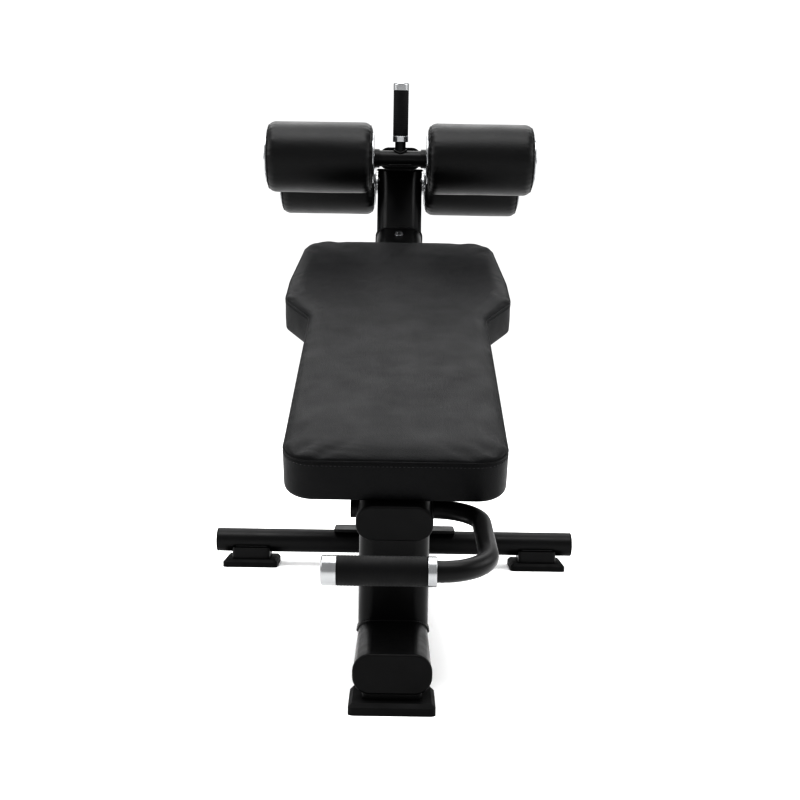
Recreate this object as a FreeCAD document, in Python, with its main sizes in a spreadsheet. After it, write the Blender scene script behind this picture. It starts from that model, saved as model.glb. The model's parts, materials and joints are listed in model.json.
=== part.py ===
"""Roman chair: a fixed decline bench with two pairs of padded leg rollers.

The bench stands on a long flat-oval base tube with a round cross tube at its foot end.  A short front
post and a tall rear post carry the sloping seat tube and its pad.  An arm on top of the rear post holds
the knee rollers, the ankle rollers turn on an axle through the rear post, and there are two hand grips:
a bent bar at the head end and an upright stub above the knee rollers.

Frame: +Z is up, +Y runs from the head end to the foot end, +X is across.  The origin is on the floor,
in the middle of the whole bench.  Lengths are in millimetres and angles in degrees.
"""
import FreeCAD, Part
import math
import os
import re

import Sketcher
from FreeCAD import Placement, Rotation, Vector

# alias, value, meaning.  Places along the bench (..._at) are measured from the cross tube's axis.
DIMENSIONS = [
    ("tube_wide", 100, "flat-oval frame tube, across"),
    ("tube_thin", 50, "flat-oval frame tube, the other way"),
    ("tube_round", 22, "corner radius of the frame tube"),
    ("tube_wall", 3, "wall of the frame tube"),
    ("arm_wide", 80, "flat-oval roller arm, across"),
    ("arm_thin", 40, "flat-oval roller arm, height"),
    ("arm_round", 17, "corner radius of the roller arm"),
    ("cap_flange", 6, "thickness of a tube cap's flange"),
    ("cap_lip", 1, "overhang of a cap's flange round its tube"),
    ("cap_plug", 22, "length of a cap's plug inside its tube"),
    ("fit_gap", 0.1, "gap round a fixed piece in its socket"),
    ("base_height", 49, "base tube's axis above the floor"),
    ("base_front_at", -992, "front end of the base tube"),
    ("base_back_at", -12, "back end of the base tube, inside the cope"),
    ("cross_radius", 24, "cross tube, outside radius"),
    ("cross_wall", 3, "cross tube wall"),
    ("cross_half", 366, "half length of the cross tube"),
    ("cross_height", 50, "cross tube's axis above the floor"),
    ("plug_flange", 4, "thickness of the cross tube's end plugs"),
    ("plate_wide", 250, "stiffening plate on the cross tube, across"),
    ("plate_long", 68, "stiffening plate, along the bench"),
    ("plate_thick", 5, "stiffening plate"),
    ("foot_wide", 111, "rubber foot, across"),
    ("foot_long", 88, "rubber foot, along the bench"),
    ("foot_thick", 15, "rubber foot"),
    ("foot_bevel", 5, "bevel round the top of a foot"),
    ("foot_round", 7, "corner radius of a foot"),
    ("spacer_wide", 77, "steel spacers and saddles, across"),
    ("spacer_long", 60, "steel saddle on a rear foot, along the bench"),
    ("front_spacer", 46, "steel spacer on the front foot, along the bench"),
    ("rear_foot_out", 297, "rear feet from the middle of the bench"),
    ("front_foot_at", -968, "middle of the front foot"),
    ("front_post_at", -786, "middle of the front post at the base tube"),
    ("front_post_lean", 8.6, "front post's lean towards the head end"),
    ("seat_slope", 22, "slope of the seat tube"),
    ("seat_front_at", -935, "front end of the seat tube"),
    ("seat_front_height", 234, "seat tube's axis at its front end"),
    ("rear_post_lean", 20.1, "rear post's lean towards the foot end"),
    ("pad_length", 933, "pad, end to end"),
    ("pad_thick", 65, "pad and its board"),
    ("pad_lift", 3.5, "pad bars between the seat tube and the pad"),
    ("pad_setback", 7, "from the seat tube's front end back to the pad's"),
    ("sketch_start", 10, "from a pad sketch's origin to the pad's head end"),
    ("pad_narrow", 150, "half width of the pad's narrow part"),
    ("pad_wide", 198, "half width of the pad's wide part"),
    ("pad_end", 182, "half width of the pad at its foot end"),
    ("flare_start", 513, "where the pad begins to widen, from its head end"),
    ("flare_end", 600, "where the pad is widest"),
    ("taper_start", 700, "where the pad begins to taper again"),
    ("pad_corner", 42, "plan corner radius at the head end"),
    ("pad_end_corner", 52, "plan corner radius at the foot end"),
    ("pad_shoulder", 30, "plan radius at the pad's shoulders"),
    ("board_inset", 16, "board inside the pad's outline"),
    ("board_thick", 12, "board in the pad's underside"),
    ("bar_long", 220, "pad bar, across the bench"),
    ("bar_wide", 40, "pad bar, along the bench"),
    ("bolt_radius", 4, "pad bolt's shank"),
    ("bolt_spread", 86, "pad bolts from the middle of the bench"),
    ("bolt_head", 7, "radius of a pad bolt's head"),
    ("end_washer", 10, "washer of the bolt in front of the rear post"),
    ("end_bolt_gap", 50, "from that bolt to the rear post"),
    ("head_high", 5, "height of a bolt's head"),
    ("axle_radius", 10, "roller axle"),
    ("run_gap", 0.05, "running clearance round an axle"),
    ("knee_at", -68, "knee axle"),
    ("knee_height", 837, "knee axle above the floor"),
    ("ankle_height", 831, "ankle axle above the floor"),
    ("arm_slope", 7.5, "roller arm's rise towards the foot end"),
    ("arm_start", 12, "gap from the knee axle to the arm's front end"),
    ("arm_tail", 46, "arm behind the rear post's axis"),
    ("sleeve_radius", 16, "tube round an axle, outside"),
    ("sleeve_wall", 3, "wall of the tube round an axle"),
    ("knee_sleeve_half", 41.5, "half length of the tube round the knee axle"),
    ("knee_collar", 18.5, "radius of the knee axle's bush flange"),
    ("knee_collar_thick", 10, "thickness of the knee axle's bush flange"),
    ("ankle_collar", 25, "radius of the ankle axle's bush flange"),
    ("ankle_collar_thick", 4, "thickness of the ankle axle's bush flange"),
    ("bush_deep", 25, "length of a bush inside its tube"),
    ("side_gap", 1, "side clearance of a roller"),
    ("roller_radius", 73, "padded roller"),
    ("roller_length", 210, "padded roller"),
    ("roller_round", 17, "rounding at a roller's ends"),
    ("core_radius", 14, "outside radius of a roller's core"),
    ("disc_radius", 50, "roller end disc"),
    ("disc_thick", 3, "roller end disc"),
    ("washer_thick", 2, "washer at an axle's end"),
    ("washer_radius", 13, "washer at an axle's end"),
    ("axle_bolt_head", 8, "radius of an axle bolt's head"),
    ("bar_radius", 12.5, "bent handle bar, outside radius"),
    ("bar_wall", 2.5, "wall of the bent handle bar"),
    ("bar_at", -900, "handle bar's leg through the seat tube"),
    ("bar_height", 247, "height of the handle bar's leg through the seat tube"),
    ("bar_dip", 9.4, "handle bar's slope down towards the head end"),
    ("bar_reach", 238, "distance between the handle bar's two legs"),
    ("bar_side", 113, "handle bar's side leg from the middle of the bench"),
    ("bar_bend", 60, "bend radius of the handle bar"),
    ("bar_stub", 57, "handle bar's end from the middle of the bench"),
    ("grip_radius", 17.5, "front hand grip"),
    ("grip_left", 66, "front grip, from the middle of the bench to its cap"),
    ("grip_right", 39, "front grip, from the middle of the bench to its collar"),
    ("grip_cap", 18, "length of the front grip's end cap"),
    ("grip_collar", 10.5, "length of the front grip's collar"),
    ("stub_lean", 12, "upright grip's lean towards the head end"),
    ("stub_neck", 10.5, "radius of the upright grip's neck"),
    ("stub_grip", 15, "radius of the upright grip"),
    ("stub_clear", 33, "from the knee axle to the upright grip's ring"),
    ("stub_ring", 12, "length of the upright grip's ring"),
    ("stub_length", 88, "length of the upright grip's sleeve"),
    ("stub_cap", 16, "length of the upright grip's cap"),
]

doc = FreeCAD.newDocument("RomanChair")
sheet = doc.addObject("Spreadsheet::Sheet", "Dimensions")
for row, (alias, value, meaning) in enumerate(DIMENSIONS, start=1):
    sheet.set(f"A{row}", meaning)
    sheet.set(f"B{row}", str(value))
    sheet.setAlias(f"B{row}", alias)
doc.recompute()

parts = {}


def size(formula):
    """The number that a formula of the sheet's aliases gives."""
    return float(sheet.evalExpression(formula))


def bind(thing, **formulas):
    """Ties properties of an object to formulas of the sheet's aliases."""
    for name, formula in formulas.items():
        expression = re.sub(r"[a-z]\w*", r"Dimensions.\g<0>", formula)
        thing.setExpression(name.replace("__", "."), expression)


def keep(label, thing):
    """Registers a finished sub-part under its node name."""
    thing.Label = label
    parts[label] = thing
    return thing


# ---- frames of reference -------------------------------------------------------------------------

def pitched(angle):
    """Turns local Z into the direction at this angle above +Y, and keeps local X across the bench."""
    return Rotation(Vector(1, 0, 0), angle - 90)


UPRIGHT = Rotation()
ACROSS = Rotation(Vector(0, 1, 0), 90)
ACROSS_LEFT = Rotation(Vector(0, 1, 0), -90)


def along(angle, distance):
    """A step in the bench's middle plane, at this angle above +Y."""
    turn = math.radians(angle)
    return Vector(0, distance * math.cos(turn), distance * math.sin(turn))


# The rear post stands on the stiffening plate, straight above the cross tube.
post_foot = Vector(0, 0, size("cross_height + cross_radius + plate_thick"))
post_angle = 90 - size("rear_post_lean")
ankle_rise = size("ankle_height") - post_foot.z
ankle = post_foot + along(post_angle, ankle_rise / math.sin(math.radians(post_angle)))
knee = Vector(0, size("knee_at"), size("knee_height"))

seat_angle = size("seat_slope")
seat_front = Vector(0, size("seat_front_at"), size("seat_front_height"))
handle = Vector(0, size("bar_at"), size("bar_height"))
grip = handle + along(180 + size("bar_dip"), size("bar_reach"))

# Where the top of the seat tube meets the rear post's front face, and the arm's underside the post's axis.
seat_top = seat_front + along(seat_angle + 90, size("tube_thin") / 2)
post_face = post_foot + along(post_angle + 90, size("tube_thin") / 2)
face_normal = along(post_angle - 90, 1)
seat_run = (post_face - seat_top).dot(face_normal) / along(seat_angle, 1).dot(face_normal)
seat_end = seat_top + along(seat_angle, seat_run)
arm_angle = size("arm_slope")
arm_run = (ankle.y - knee.y) / math.cos(math.radians(arm_angle))
arm_over_post = knee + along(arm_angle, arm_run) + along(arm_angle - 90, size("arm_thin") / 2)

# The origin lies midway between the front grip's face and the back of the ankle rollers.
middle = ((grip.y - size("grip_radius")) + (ankle.y + size("roller_radius"))) / 2


def put(thing, point, rotation=UPRIGHT):
    """Places an object whose point is given from the cross tube's axis."""
    thing.Placement = Placement(point - Vector(0, middle, 0), rotation)
    return thing


# ---- sketches and solids -------------------------------------------------------------------------

def new_sketch(body, role):
    """A sketch on one of the body's own origin planes."""
    sketch = body.newObject("Sketcher::SketchObject", "Sketch")
    support = next(f for f in body.Origin.OriginFeatures if f.Role == role)
    sketch.AttachmentSupport = (support, [""])
    sketch.MapMode = "FlatFace"
    return sketch


def dimension(sketch, constraint, formula):
    """Adds one driving dimension to a sketch and ties it to the sheet."""
    number = sketch.addConstraint(constraint)
    bind(sketch, **{f"Constraints[{number}]": formula})


def add_oval(sketch, wide, thin, radius):
    """A rounded rectangle centred on the sketch's origin."""
    x = size(wide) / 2
    y = size(thin) / 2
    r = size(radius)
    first = sketch.GeometryCount
    corners = [(x - r, r - y, 270), (x - r, y - r, 0), (r - x, y - r, 90), (r - x, r - y, 180)]
    for index, (cx, cy, start) in enumerate(corners):
        before = corners[index - 1]
        turn = math.radians(start)
        offset = Vector(r * math.cos(turn), r * math.sin(turn), 0)
        start_point = Vector(before[0], before[1], 0) + offset
        sketch.addGeometry(Part.LineSegment(start_point, Vector(cx, cy, 0) + offset))
        circle = Part.Circle(Vector(cx, cy, 0), Vector(0, 0, 1), r)
        sketch.addGeometry(Part.ArcOfCircle(circle, turn, turn + math.pi / 2))
    for index in range(8):
        sketch.addConstraint(Sketcher.Constraint("Tangent", first + index, 2, first + (index + 1) % 8, 1))
    for index, kind in enumerate(("Horizontal", "Vertical", "Horizontal", "Vertical")):
        sketch.addConstraint(Sketcher.Constraint(kind, first + 2 * index))
    for index in (3, 5, 7):
        sketch.addConstraint(Sketcher.Constraint("Equal", first + 1, first + index))
    sketch.addConstraint(Sketcher.Constraint("Symmetric", first + 1, 3, first + 5, 3, -1, 1))
    dimension(sketch, Sketcher.Constraint("DistanceX", first + 6, 1, first + 2, 1, 2 * x), wide)
    dimension(sketch, Sketcher.Constraint("DistanceY", first, 1, first + 4, 1, 2 * y), thin)
    dimension(sketch, Sketcher.Constraint("Radius", first + 1, r), radius)


def add_circle(sketch, radius):
    """A circle round the sketch's origin."""
    number = sketch.addGeometry(Part.Circle(Vector(0, 0, 0), Vector(0, 0, 1), size(radius)))
    sketch.addConstraint(Sketcher.Constraint("Coincident", number, 3, -1, 1))
    dimension(sketch, Sketcher.Constraint("Radius", number, size(radius)), radius)


def pad(body, sketch, length, reverse=False):
    """Extrudes a sketch."""
    feature = body.newObject("PartDesign::Pad", "Pad")
    feature.Profile = sketch
    feature.Reversed = reverse
    bind(feature, Length=length)
    return feature


def dress(body, kind, amount, choose):
    """Fillets or chamfers the edges of the body's tip that choose() accepts."""
    doc.recompute()
    tip = body.Tip
    edges = [f"Edge{n}" for n, edge in enumerate(tip.Shape.Edges, start=1) if choose(edge)]
    feature = body.newObject(f"PartDesign::{kind}", kind)
    feature.Base = (tip, edges)
    bind(feature, **{"Radius" if kind == "Fillet" else "Size": amount})
    return feature


def new_body(label):
    return doc.addObject("PartDesign::Body", label)


def oval_tube(label, family, length):
    """A hollow flat-oval tube along local Z, of the frame's or the arm's section."""
    body = new_body(label)
    sketch = new_sketch(body, "XY_Plane")
    add_oval(sketch, f"{family}_wide", f"{family}_thin", f"{family}_round")
    wall = "2 * tube_wall"
    add_oval(sketch, f"{family}_wide - {wall}", f"{family}_thin - {wall}", f"{family}_round - tube_wall")
    pad(body, sketch, length)
    return body


def oval_cap(label, family, point, rotation):
    """A plastic tube cap: local +Z points out of the tube."""
    body = new_body(label)
    flange = new_sketch(body, "XY_Plane")
    lip = "2 * cap_lip"
    add_oval(flange, f"{family}_wide + {lip}", f"{family}_thin + {lip}", f"{family}_round + cap_lip")
    pad(body, flange, "cap_flange")
    dress(body, "Fillet", "cap_flange / 2", lambda edge: edge.BoundBox.ZMin > size("cap_flange") - 0.01)
    plug = new_sketch(body, "XY_Plane")
    inside = "2 * tube_wall - 2 * fit_gap"
    corner = f"{family}_round - tube_wall - fit_gap"
    add_oval(plug, f"{family}_wide - {inside}", f"{family}_thin - {inside}", corner)
    pad(body, plug, "cap_plug", reverse=True)
    return keep(label, put(body, point, rotation))


def round_piece(label, steps, bore=None):
    """A turned piece along local Z: steps are (radius, length) stacked from the origin, with one bore."""
    body = new_body(label)
    sketch = new_sketch(body, "XZ_Plane")
    inner = size(bore) if bore else 0
    points = [(inner, 0)]
    reach = 0
    lengths = []
    for radius, length in steps:
        points += [(size(radius), reach), (size(radius), reach + size(length))]
        reach += size(length)
        lengths.append(length)
    points.append((inner, reach))
    count = len(points)
    for index in range(count):
        start, end = points[index], points[(index + 1) % count]
        sketch.addGeometry(Part.LineSegment(Vector(*start, 0), Vector(*end, 0)))
    for index in range(count):
        sketch.addConstraint(Sketcher.Constraint("Coincident", index, 2, (index + 1) % count, 1))
    for index in range(count):
        kind = "Horizontal" if index % 2 == 0 else "Vertical"
        sketch.addConstraint(Sketcher.Constraint(kind, index))
    sketch.addConstraint(Sketcher.Constraint("PointOnObject", 0, 1, -1))
    if bore:
        dimension(sketch, Sketcher.Constraint("DistanceX", -1, 1, 0, 1, inner), bore)
    else:
        sketch.addConstraint(Sketcher.Constraint("PointOnObject", 0, 1, -2))
    for number, (radius, length) in enumerate(steps):
        side = 1 + 2 * number
        dimension(sketch, Sketcher.Constraint("DistanceX", -1, 1, side, 1, size(radius)), radius)
        dimension(sketch, Sketcher.Constraint("DistanceY", side, 1, side, 2, size(length)), length)
    turned = body.newObject("PartDesign::Revolution", "Revolution")
    turned.Profile = sketch
    turned.ReferenceAxis = (sketch, ["V_Axis"])
    turned.Angle = 360
    return body


def rim(radius, height):
    """Chooses the circular edge of a turned piece at this radius and height."""
    def choose(edge):
        box = edge.BoundBox
        flat = abs(box.ZMin - size(height)) < 0.01 and abs(box.ZMax - size(height)) < 0.01
        return flat and abs(box.XMax - size(radius)) < 0.01
    return choose


def cut(label, base, tools):
    """Cuts tools from a solid and keeps the result as a sub-part."""
    for tool in tools:
        result = doc.addObject("Part::Cut", f"{label}_cut")
        result.Base = base
        result.Tool = tool
        base = result
    return keep(label, result)


def group(label, pieces):
    """Keeps several separate solids of one kind as one sub-part."""
    compound = doc.addObject("Part::Compound", label)
    compound.Links = pieces
    return keep(label, compound)


def half_space(point, angle):
    """A large block beyond the plane through point whose outward normal is at this angle above +Y."""
    block = doc.addObject("Part::Box", "HalfSpace")
    bind(block, Length="6 * tube_wide", Width="6 * tube_wide", Height="6 * tube_wide")
    rotation = pitched(angle)
    reach = 3 * size("tube_wide")
    corner = point - rotation.multVec(Vector(reach, reach, 0))
    return put(block, corner, rotation)


def cope(point, angle):
    """A solid flat-oval bar through point, a little larger than the frame's tube, that shapes the end
    of a tube which meets that tube."""
    body = new_body("Cope")
    sketch = new_sketch(body, "XY_Plane")
    add_oval(sketch, "tube_wide + 2 * fit_gap", "tube_thin + 2 * fit_gap", "tube_round + fit_gap")
    pad(body, sketch, "24 * tube_wide")
    return put(body, point - along(angle, 12 * size("tube_wide")), pitched(angle))


def drill(point, rotation, radius, length):
    """A cylinder used as a cutting tool, centred on point."""
    tool = doc.addObject("Part::Cylinder", "Drill")
    bind(tool, Radius=radius, Height=length)
    start = point - rotation.multVec(Vector(0, 0, size(length) / 2))
    return put(tool, start, rotation)


# ---- base ----------------------------------------------------------------------------------------

def base_tube():
    front = Vector(0, size("base_front_at"), size("base_height"))
    stock = oval_tube("base_tube_stock", "tube", "base_back_at - base_front_at")
    put(stock, front, pitched(0))
    cross = Vector(0, 0, size("cross_height"))
    cut("base_tube", stock, [drill(cross, ACROSS, "cross_radius + fit_gap", "2 * tube_wide")])
    oval_cap("base_tube_cap", "tube", front, pitched(180))


def cross_tube():
    left = Vector(-size("cross_half"), 0, size("cross_height"))
    right = Vector(size("cross_half"), 0, size("cross_height"))
    tube = round_piece("cross_tube", [("cross_radius", "2 * cross_half")], bore="cross_radius - cross_wall")
    keep("cross_tube", put(tube, left, ACROSS))
    for side, point, rotation in (("left", left, ACROSS_LEFT), ("right", right, ACROSS)):
        inward = rotation.multVec(Vector(0, 0, -size("cap_plug")))
        spigot = "cross_radius - cross_wall - fit_gap"
        steps = [(spigot, "cap_plug"), ("cross_radius", "plug_flange")]
        plug = round_piece(f"cross_tube_plug_{side}", steps)
        dress(plug, "Fillet", "plug_flange / 2", rim("cross_radius", "cap_plug + plug_flange"))
        keep(f"cross_tube_plug_{side}", put(plug, point + inward, rotation))
    body = new_body("rear_plate")
    sketch = new_sketch(body, "XY_Plane")
    add_oval(sketch, "plate_wide", "plate_long", "foot_round")
    pad(body, sketch, "plate_thick")
    behind = size("cross_radius + spacer_long / 4 - plate_long / 2")
    centre = Vector(0, behind, post_foot.z - size("plate_thick"))
    keep("rear_plate", put(body, centre))


def foot(label, spacer_label, point, spacer_run, spacer_top, tools):
    """A rubber foot with a bevelled lip, and the steel spacer between it and its tube."""
    rubber = new_body(label)
    sketch = new_sketch(rubber, "XY_Plane")
    add_oval(sketch, "foot_wide", "foot_long", "foot_round")
    pad(rubber, sketch, "foot_thick")
    dress(rubber, "Chamfer", "foot_bevel", lambda edge: edge.BoundBox.ZMin > size("foot_thick") - 0.01)
    keep(label, put(rubber, point))
    steel = new_body(f"{spacer_label}_stock")
    sketch = new_sketch(steel, "XY_Plane")
    add_oval(sketch, "spacer_wide", spacer_run, "foot_round")
    pad(steel, sketch, f"{spacer_top} - foot_thick")
    put(steel, point + Vector(0, 0, size("foot_thick")))
    if tools:
        cut(spacer_label, steel, tools)
    else:
        keep(spacer_label, steel)


def feet():
    front = Vector(0, size("front_foot_at"), 0)
    foot("front_foot", "front_foot_spacer", front, "front_spacer", "base_height - tube_thin / 2", [])
    for side, sign in (("left", -1), ("right", 1)):
        place = Vector(sign * size("rear_foot_out"), 0, 0)
        axis = place + Vector(0, 0, size("cross_height"))
        saddle = drill(axis, ACROSS, "cross_radius + fit_gap", "2 * tube_wide")
        names = (f"rear_foot_{side}", f"rear_foot_saddle_{side}")
        foot(*names, place, "spacer_long", "cross_height - cross_radius / 2", [saddle])


# ---- posts and seat tube -------------------------------------------------------------------------

def seat_side(offset):
    """A point of the seat tube's front end, this far above its axis."""
    return seat_front + along(seat_angle + 90, offset)


def posts():
    half = size("tube_thin") / 2
    base_top = Vector(0, size("front_post_at"), size("base_height") + half)
    lean = 90 + size("front_post_lean")
    stock = oval_tube("front_post_stock", "tube", "4 * tube_wide")
    put(stock, base_top + along(lean, -size("tube_wide")), pitched(lean))
    below = [half_space(base_top - Vector(0, 0, half), 270), cope(base_top - Vector(0, 0, half), 0)]
    above = [half_space(seat_side(0), seat_angle + 90), cope(seat_side(0), seat_angle)]
    cut("front_post", stock, below + above)

    stock = oval_tube("rear_post_stock", "tube", "10 * tube_wide")
    put(stock, post_foot + along(post_angle, -size("tube_wide")), pitched(post_angle))
    sleeve = drill(ankle, ACROSS, "sleeve_radius + fit_gap", "2 * tube_wide")
    cut("rear_post", stock, [half_space(post_foot, 270), half_space(arm_over_post, arm_angle + 90), sleeve])


def seat_tube():
    stock = oval_tube("seat_tube_stock", "tube", "14 * tube_wide")
    put(stock, seat_front, pitched(seat_angle))
    hole = drill(handle, ACROSS, "bar_radius + fit_gap", "2 * tube_wide")
    screw = drill(end_bolt_point(), pitched(seat_angle + 90), "bolt_radius + fit_gap", "tube_thin / 2")
    in_post = seat_end + along(post_angle - 90, size("tube_thin") / 2)
    beyond = [half_space(in_post, post_angle - 90), cope(post_foot, post_angle)]
    cut("seat_tube", stock, beyond + [hole, screw])
    oval_cap("seat_tube_cap", "tube", seat_front, pitched(seat_angle + 180))


def end_bolt_point():
    """Where the end bolt enters the seat tube's top, just in front of the rear post."""
    return seat_end - along(seat_angle, size("end_bolt_gap"))


def end_bolt():
    shank_down = ("bolt_radius", "3 * tube_wall")
    bolt = round_piece("end_bolt", [shank_down, ("end_washer", "washer_thick"), ("bolt_head", "head_high")])
    dress(bolt, "Fillet", "head_high / 3", rim("bolt_head", "3 * tube_wall + washer_thick + head_high"))
    start = end_bolt_point() + along(seat_angle + 90, -size("3 * tube_wall"))
    keep("end_bolt", put(bolt, start, pitched(seat_angle + 90)))


# ---- pad -----------------------------------------------------------------------------------------

def pad_point(distance, height):
    """A point above the seat tube: distance from the pad's head end, height from its underside."""
    lift = size("tube_thin / 2 + pad_lift")
    return seat_side(lift + height) + along(seat_angle, distance + size("pad_setback"))


def add_pad_outline(sketch, inset):
    """The pad's plan, with local X across and local Y from its head end, shrunk by an inset."""
    halves = [
        (f"pad_narrow - {inset}", f"sketch_start + {inset}"),
        (f"pad_narrow - {inset}", "sketch_start + flare_start"),
        (f"pad_wide - {inset}", "sketch_start + flare_end"),
        (f"pad_wide - {inset}", "sketch_start + taper_start"),
        (f"pad_end - {inset}", f"sketch_start + pad_length - {inset}"),
    ]
    right = [Vector(size(across), size(run), 0) for across, run in halves]
    left = [Vector(-point.x, point.y, 0) for point in reversed(right)]
    points = right + left
    count = len(points)
    for index in range(count):
        sketch.addGeometry(Part.LineSegment(points[index], points[(index + 1) % count]))
    for index in range(count):
        sketch.addConstraint(Sketcher.Constraint("Coincident", index, 2, (index + 1) % count, 1))
    for index, (across, run) in enumerate(halves):
        mirror = count - 1 - index
        sketch.addConstraint(Sketcher.Constraint("Symmetric", index, 1, mirror, 1, -2))
        dimension(sketch, Sketcher.Constraint("DistanceX", -1, 1, index, 1, size(across)), across)
        dimension(sketch, Sketcher.Constraint("DistanceY", -1, 1, index, 1, size(run)), run)


def upright_edges(across, run):
    """Chooses the pad's vertical edges at this half width and distance."""
    def choose(edge):
        box = edge.BoundBox
        upright = box.XLength < 0.01 and box.YLength < 0.01
        return upright and abs(abs(box.XMax) - size(across)) < 0.01 and abs(box.YMax - size(run)) < 0.01
    return choose


PAD_CORNERS = [
    ("pad_narrow", "sketch_start", "pad_corner"),
    ("pad_end", "sketch_start + pad_length", "pad_end_corner"),
    ("pad_narrow", "sketch_start + flare_start", "pad_shoulder"),
    ("pad_wide", "sketch_start + flare_end", "pad_shoulder"),
]


def bench_pad():
    flat = pitched(seat_angle + 90)
    origin = pad_point(-size("sketch_start"), 0)
    cushion = new_body("bench_pad")
    outline = new_sketch(cushion, "XY_Plane")
    add_pad_outline(outline, "0")
    pad(cushion, outline, "pad_thick")
    for across, run, radius in PAD_CORNERS:
        dress(cushion, "Fillet", radius, upright_edges(across, run))
    recess = new_sketch(cushion, "XY_Plane")
    add_pad_outline(recess, "(board_inset - fit_gap)")
    pocket = cushion.newObject("PartDesign::Pocket", "Recess")
    pocket.Profile = recess
    pocket.Reversed = True
    bind(pocket, Length="board_thick + fit_gap")
    keep("bench_pad", put(cushion, origin, flat))

    board = new_body("pad_board_stock")
    outline = new_sketch(board, "XY_Plane")
    add_pad_outline(outline, "board_inset")
    pad(board, outline, "board_thick")
    put(board, origin, flat)
    holes = []
    for point in bolt_points():
        holes.append(drill(point, flat, "bolt_radius + fit_gap", "2 * board_thick"))
    cut("pad_board", board, holes)


PAD_BARS = {"front": 0.12, "middle": 0.5, "rear": 0.88}


def bolt_points():
    """Where the pad's bolts enter its board."""
    points = []
    for fraction in PAD_BARS.values():
        for sign in (-1, 1):
            across = Vector(sign * size("bolt_spread"), 0, 0)
            points.append(pad_point(fraction * size("pad_length"), 0) + across)
    return points


def pad_bars():
    flat = pitched(seat_angle + 90)
    for place, fraction in PAD_BARS.items():
        body = new_body(f"pad_bar_{place}_stock")
        sketch = new_sketch(body, "XY_Plane")
        add_oval(sketch, "bar_long", "bar_wide", "foot_round")
        pad(body, sketch, "pad_lift")
        point = pad_point(fraction * size("pad_length"), -size("pad_lift"))
        put(body, point, flat)
        holes = []
        for sign in (-1, 1):
            middle_of_hole = point + Vector(sign * size("bolt_spread"), 0, 0)
            holes.append(drill(middle_of_hole, flat, "bolt_radius + fit_gap", "4 * pad_lift"))
        cut(f"pad_bar_{place}", body, holes)


def pad_bolts():
    """Six hexagon-headed bolts that hold the pad's board to its bars, as one group of solids."""
    flat = pitched(seat_angle + 90)
    bolts = []
    for point in bolt_points():
        head = doc.addObject("Part::Prism", "BoltHead")
        head.Polygon = 6
        bind(head, Circumradius="bolt_head", Height="head_high")
        put(head, point + along(seat_angle + 90, -size("pad_lift + head_high")), flat)
        shank = doc.addObject("Part::Cylinder", "BoltShank")
        bind(shank, Radius="bolt_radius", Height="pad_lift + board_thick - washer_thick")
        put(shank, point + along(seat_angle + 90, -size("pad_lift")), flat)
        bolt = doc.addObject("Part::Fuse", "Bolt")
        bolt.Base = head
        bolt.Tool = shank
        bolts.append(bolt)
    group("pad_bolts", bolts)


# ---- rollers -------------------------------------------------------------------------------------

AXLES = {
    "knee": (knee, "knee_sleeve_half", "knee_collar", "knee_collar_thick"),
    "ankle": (ankle, "(tube_wide / 2)", "ankle_collar", "ankle_collar_thick"),
}


def sideways(distance):
    """A step across the bench."""
    return Vector(distance, 0, 0)


def axle_set(name, centre, sleeve_half, collar, collar_thick):
    """One axle with its tube, bushes, end bolts and two rollers."""
    axle_hole = "axle_radius + run_gap"
    roller_start = f"({sleeve_half} + {collar_thick} + side_gap)"
    axle_half = f"({roller_start} + roller_length + 2 * disc_thick + fit_gap)"

    tube = [("sleeve_radius", f"2 * {sleeve_half}")]
    sleeve = round_piece(f"{name}_sleeve", tube, bore="sleeve_radius - sleeve_wall")
    keep(f"{name}_sleeve", put(sleeve, centre - sideways(size(sleeve_half)), ACROSS))

    axle = new_body(f"{name}_axle_stock")
    sketch = new_sketch(axle, "XY_Plane")
    add_circle(sketch, "axle_radius")
    pad(axle, sketch, f"2 * {axle_half}")
    put(axle, centre - sideways(size(axle_half)), ACROSS)
    ends = []
    for sign in (-1, 1):
        end = centre + sideways(sign * size(axle_half))
        ends.append(drill(end, ACROSS, "bolt_radius + fit_gap", "4 * bush_deep"))
    cut(f"{name}_axle", axle, ends)

    bolts = []
    for side, sign, outward in (("left", -1, ACROSS_LEFT), ("right", 1, ACROSS)):
        face = centre + sideways(sign * size(sleeve_half))
        spigot = ("sleeve_radius - sleeve_wall - fit_gap", "bush_deep")
        bush = round_piece(f"{name}_bush_{side}", [spigot, (collar, collar_thick)], bore=axle_hole)
        keep(f"{name}_bush_{side}", put(bush, face - sideways(sign * size("bush_deep")), outward))
        roller(f"{name}_{side}", centre + sideways(sign * size(roller_start)), sign, outward, axle_hole)
        bolt_steps = [
            ("bolt_radius", "bush_deep"),
            ("washer_radius", "washer_thick"),
            ("axle_bolt_head", "head_high"),
        ]
        bolt = round_piece(f"{name}_axle_bolt", bolt_steps)
        head_top = rim("axle_bolt_head", "bush_deep + washer_thick + head_high")
        dress(bolt, "Fillet", "head_high / 3", head_top)
        end = centre + sideways(sign * (size(axle_half) - size("bush_deep")))
        bolts.append(put(bolt, end, outward))
    group(f"{name}_axle_bolts", bolts)


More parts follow.
